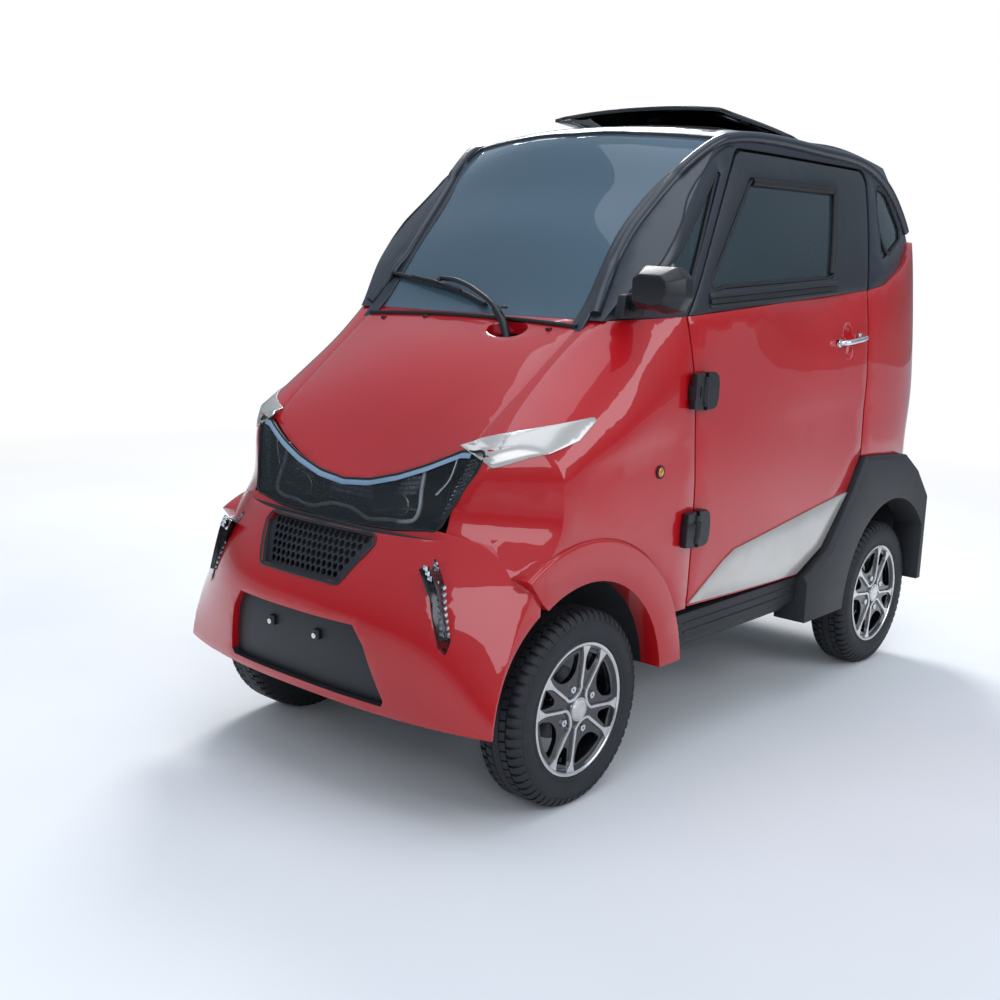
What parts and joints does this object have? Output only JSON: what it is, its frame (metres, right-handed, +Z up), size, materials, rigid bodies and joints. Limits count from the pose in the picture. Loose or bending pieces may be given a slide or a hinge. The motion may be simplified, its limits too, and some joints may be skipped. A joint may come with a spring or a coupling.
{
  "type": "electric microcar",
  "caption": "Small electric town car with a red shell, black cabin frame, side doors, rear hatch, propped roof hatch, steered front wheels and a furnished cabin",
  "frame": {"origin": "on the ground under the middle of the car's box, 34 mm to the car's left of its centre plane because only the left side has a mirror", "axes": "+Z up, -Y is the car's front, +X is the car's left side"},
  "size_m": [1.2553, 2.47, 1.7918],
  "materials": {
    "red_paint": "glossy red paint",
    "black_gloss": "satin blue-black frame finish",
    "black_plastic": "grained black plastic",
    "silver_paint": "champagne-silver painted trim",
    "lamp_housing": "dark lamp housing",
    "clear_cover": "clear lamp cover",
    "red_lens": "red lamp lens",
    "window_glass": "lightly tinted safety glass",
    "roof_gloss": "dark glossy roof skin",
    "smoked_hatch": "smoked hatch glass",
    "chassis_steel": "black coated steel",
    "floor_panel": "black floor covering",
    "battery_case": "dark grey battery case",
    "cabin_plastic": "black cabin plastic",
    "seat_cloth": "dark seat cloth",
    "tyre": "black rubber",
    "rim_alloy": "black alloy with bright edges"
  },
  "bodies": {
    "body": {"front_bumper": "red_paint", "corner_lamps": "clear_cover", "plate_carrier": "black_plastic", "front_grille": "black_plastic", "hood_panel": "red_paint", "fenders": "red_paint", "front_flares": "red_paint", "head_lamps": "lamp_housing", "lamp_cover": "clear_cover", "side_trims": "silver_paint", "cabin_frame": "black_gloss", "roof_panel": "roof_gloss", "windscreen": "window_glass", "side_glass": "window_glass", "fixed_hinges": "black_plastic", "quarter_panels": "red_paint", "tail_lamps": "red_lens", "rear_flares": "black_plastic", "rear_bumper": "black_plastic", "chassis_frame": "chassis_steel", "floor_pan": "floor_panel", "battery_pack": "battery_case", "sills": "black_plastic", "front_suspension": "chassis_steel", "rear_axle": "chassis_steel", "rear_suspension": "chassis_steel", "steering_rack": "black_plastic", "wheel_liners": "black_plastic", "dashboard": "cabin_plastic", "front_seats": "seat_cloth", "rear_bench": "seat_cloth", "steering_column": "cabin_plastic", "side_mirror": "black_plastic", "wiper": "black_plastic"},
    "door_left": {"door_panel_left": "red_paint", "door_frame_left": "black_gloss", "door_glass_left": "window_glass", "door_silver_left": "silver_paint", "door_fittings_left": "black_plastic"},
    "door_right": {"door_panel_right": "red_paint", "door_frame_right": "black_gloss", "door_glass_right": "window_glass", "door_silver_right": "silver_paint", "door_fittings_right": "black_plastic"},
    "tailgate": {"tailgate_panel": "red_paint", "tailgate_frame": "black_gloss", "rear_window": "window_glass"},
    "roof_hatch": {"roof_hatch": "smoked_hatch"},
    "knuckle_left": {"knuckle_left": "chassis_steel"},
    "knuckle_right": {"knuckle_right": "chassis_steel"},
    "steering_wheel": {"steering_wheel": "cabin_plastic"},
    "tie_rods": {"tie_rods": "chassis_steel"},
    "wheel_front_left": {"tyre_front_left": "tyre", "rim_front_left": "rim_alloy"},
    "wheel_front_right": {"tyre_front_right": "tyre", "rim_front_right": "rim_alloy"},
    "wheel_rear_left": {"tyre_rear_left": "tyre", "rim_rear_left": "rim_alloy"},
    "wheel_rear_right": {"tyre_rear_right": "tyre", "rim_rear_right": "rim_alloy"}
  },
  "joints": [
    {"name": "door_left_hinge", "type": "hinge", "parent": "body", "child": "door_left", "pos_m": [0.5462, -0.3507, 0.826], "axis": [-0.0175, 0, 0.9998], "range_deg": [-68, 0]},
    {"name": "door_right_hinge", "type": "hinge", "parent": "body", "child": "door_right", "pos_m": [-0.6138, -0.3507, 0.826], "axis": [0.0175, 0, 0.9998], "range_deg": [0, 68]},
    {"name": "tailgate_hinge", "type": "hinge", "parent": "body", "child": "tailgate", "pos_m": [-0.0338, 0.9803, 1.652], "axis": [1, 0, 0], "range_deg": [0, 75]},
    {"name": "roof_hatch_hinge", "type": "hinge", "parent": "body", "child": "roof_hatch", "pos_m": [-0.0338, 0.5623, 1.73704], "axis": [1, 0, 0], "range_deg": [0, 5]},
    {"name": "knuckle_left_steer", "type": "hinge", "parent": "body", "child": "knuckle_left", "pos_m": [0.3382, -0.7757, 0.247], "axis": [0, 0, 1], "range_deg": [-28, 28]},
    {"name": "knuckle_right_steer", "type": "hinge", "parent": "body", "child": "knuckle_right", "pos_m": [-0.4058, -0.7757, 0.247], "axis": [0, 0, 1], "range_deg": [-28.5, 28.5]},
    {"name": "tie_rod_slide", "type": "slide", "parent": "body", "child": "tie_rods", "axis": [1, 0, 0], "range_m": [-0.0525, 0.0525]},
    {"name": "steering_wheel_turn", "type": "hinge", "parent": "body", "child": "steering_wheel", "pos_m": [0.2022, -0.2957, 0.975], "axis": [0, 0.8465, 0.5325], "range_deg": [-226, 226]},
    {"name": "wheel_front_left_spin", "type": "hinge", "parent": "knuckle_left", "child": "wheel_front_left", "pos_m": [0.4492, -0.7757, 0.247], "axis": [1, 0, 0], "continuous": true},
    {"name": "wheel_rear_left_spin", "type": "hinge", "parent": "body", "child": "wheel_rear_left", "pos_m": [0.4492, 0.9043, 0.247], "axis": [1, 0, 0], "continuous": true},
    {"name": "wheel_front_right_spin", "type": "hinge", "parent": "knuckle_right", "child": "wheel_front_right", "pos_m": [-0.5168, -0.7757, 0.247], "axis": [1, 0, 0], "continuous": true},
    {"name": "wheel_rear_right_spin", "type": "hinge", "parent": "body", "child": "wheel_rear_right", "pos_m": [-0.5168, 0.9043, 0.247], "axis": [1, 0, 0], "continuous": true}
  ],
  "couplings": [
    {"joint": "knuckle_right_steer", "follows": "knuckle_left_steer", "ratio": 1},
    {"joint": "tie_rod_slide", "follows": "knuckle_left_steer", "m_per_rad": -0.1057},
    {"joint": "steering_wheel_turn", "follows": "knuckle_left_steer", "ratio": 8}
  ]
}
